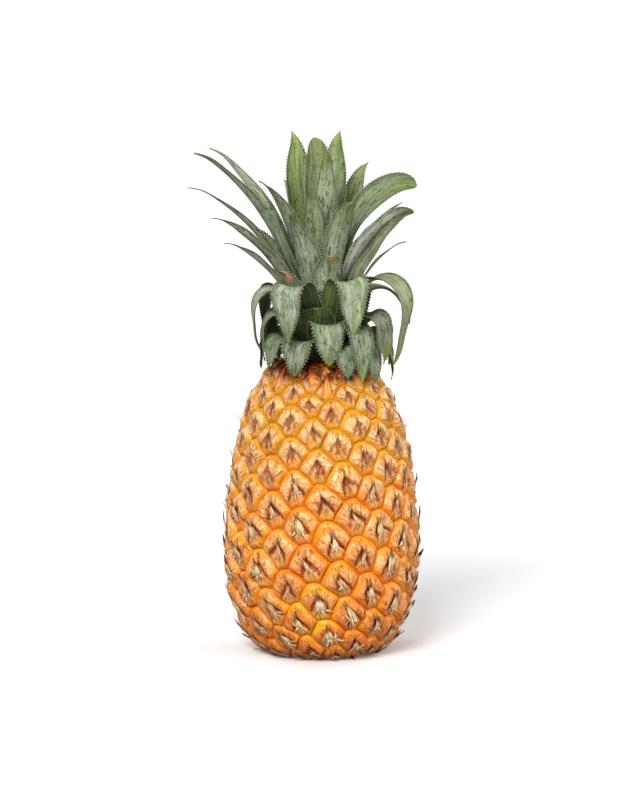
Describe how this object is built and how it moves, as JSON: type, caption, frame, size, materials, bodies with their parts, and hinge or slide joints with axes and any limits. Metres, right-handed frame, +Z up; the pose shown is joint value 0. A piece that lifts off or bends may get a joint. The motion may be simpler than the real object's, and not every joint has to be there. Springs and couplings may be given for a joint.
{
  "type": "pineapple",
  "caption": "Whole ripe pineapple with its leafy crown, standing upright on its cut base: barrel-shaped orange fruit with spiral eyes and grey-green spiny leaves.",
  "frame": {"origin": "middle of the cut stalk's face, on the surface that the fruit stands on", "axes": "+Z up along the fruit's axis towards the crown, -Y towards the front, +X to the right seen from the front"},
  "size_m": [0.1409, 0.1222, 0.3219],
  "materials": {
    "rind": "waxy orange rind of raised eyes with dry straw-coloured bract tips and brown scurf, half gloss",
    "stalk": "dry fibrous cut stalk, matt",
    "stem": "pale green-brown stem, matt",
    "lower_leaves": "thick drooping leaves, grey-green bloom over dark green, fine lengthwise lines, spiny margins",
    "middle_leaves": "long leaves with silvery bloom rubbed through to dark green, spiny margins",
    "inner_leaves": "young upright leaves, greyish to yellow-green towards the tips, spiny margins"
  },
  "bodies": {
    "root": {"fruit": "rind", "cut_stalk": "stalk", "crown_stem": "stem", "collar_leaf_1": "lower_leaves", "collar_leaf_2": "lower_leaves", "collar_leaf_3": "lower_leaves", "collar_leaf_4": "lower_leaves", "collar_leaf_5": "lower_leaves", "collar_leaf_6": "lower_leaves", "collar_leaf_7": "lower_leaves", "collar_leaf_8": "lower_leaves", "collar_leaf_9": "lower_leaves", "lower_leaf_1": "lower_leaves", "lower_leaf_2": "lower_leaves", "lower_leaf_3": "lower_leaves", "lower_leaf_4": "lower_leaves", "lower_leaf_5": "lower_leaves", "lower_leaf_6": "lower_leaves", "lower_leaf_7": "lower_leaves", "lower_leaf_8": "lower_leaves", "lower_leaf_9": "lower_leaves", "drooping_leaf_1": "lower_leaves", "drooping_leaf_2": "lower_leaves", "drooping_leaf_3": "lower_leaves", "drooping_leaf_4": "lower_leaves", "drooping_leaf_5": "lower_leaves", "drooping_leaf_6": "lower_leaves", "arching_leaf_1": "lower_leaves", "arching_leaf_2": "lower_leaves", "arching_leaf_3": "lower_leaves", "spreading_leaf_1": "middle_leaves", "spreading_leaf_2": "middle_leaves", "spreading_leaf_3": "middle_leaves", "spreading_leaf_4": "middle_leaves", "spreading_leaf_5": "middle_leaves", "spreading_leaf_6": "middle_leaves", "spreading_leaf_7": "middle_leaves", "spreading_leaf_8": "middle_leaves", "long_leaf_1": "middle_leaves", "long_leaf_2": "middle_leaves", "long_leaf_3": "middle_leaves", "long_leaf_4": "middle_leaves", "long_leaf_5": "middle_leaves", "long_leaf_6": "middle_leaves", "long_leaf_7": "middle_leaves", "upright_leaf_1": "inner_leaves", "upright_leaf_2": "inner_leaves", "upright_leaf_3": "inner_leaves", "upright_leaf_4": "inner_leaves", "upright_leaf_5": "inner_leaves", "upright_leaf_6": "inner_leaves", "upright_leaf_7": "inner_leaves", "upright_leaf_8": "inner_leaves", "heart_leaf_1": "inner_leaves", "heart_leaf_2": "inner_leaves", "heart_leaf_3": "inner_leaves", "heart_leaf_4": "inner_leaves", "heart_leaf_5": "inner_leaves"}
  },
  "joints": []
}
